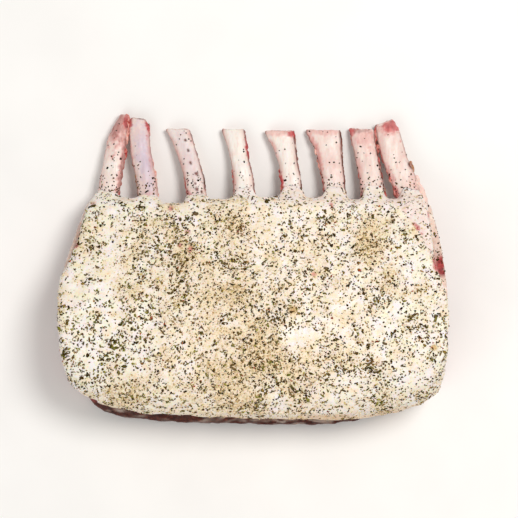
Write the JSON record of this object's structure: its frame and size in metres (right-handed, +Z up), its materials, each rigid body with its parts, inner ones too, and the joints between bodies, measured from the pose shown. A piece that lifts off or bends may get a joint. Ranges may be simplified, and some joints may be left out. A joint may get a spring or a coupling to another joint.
{
  "type": "rack of lamb",
  "caption": "Raw frenched rack of lamb, fat side up: a long loin with its fat cap and a row of bare rib bones.",
  "frame": {"origin": "centre of the rack's box on the surface it lies on", "axes": "+X along the row of ribs, +Y from the thick chine edge to the bone tips, +Z up through the fat cap"},
  "size_m": [0.2122, 0.1736, 0.052],
  "materials": {
    "fat": "moist cream fat under a dry herb and pepper rub",
    "meat": "moist dark red raw meat",
    "bone": "scraped pale pink bone, slightly moist",
    "herbs": "dry crushed herb leaves",
    "pepper": "cracked dry peppercorns",
    "spice": "dry spice grains"
  },
  "bodies": {
    "root": {"fat_cap": "fat", "loin_meat": "meat", "rib_1": "bone", "rib_2": "bone", "rib_3": "bone", "rib_4": "bone", "rib_5": "bone", "rib_6": "bone", "rib_7": "bone", "rib_8": "bone"}
  },
  "joints": []
}
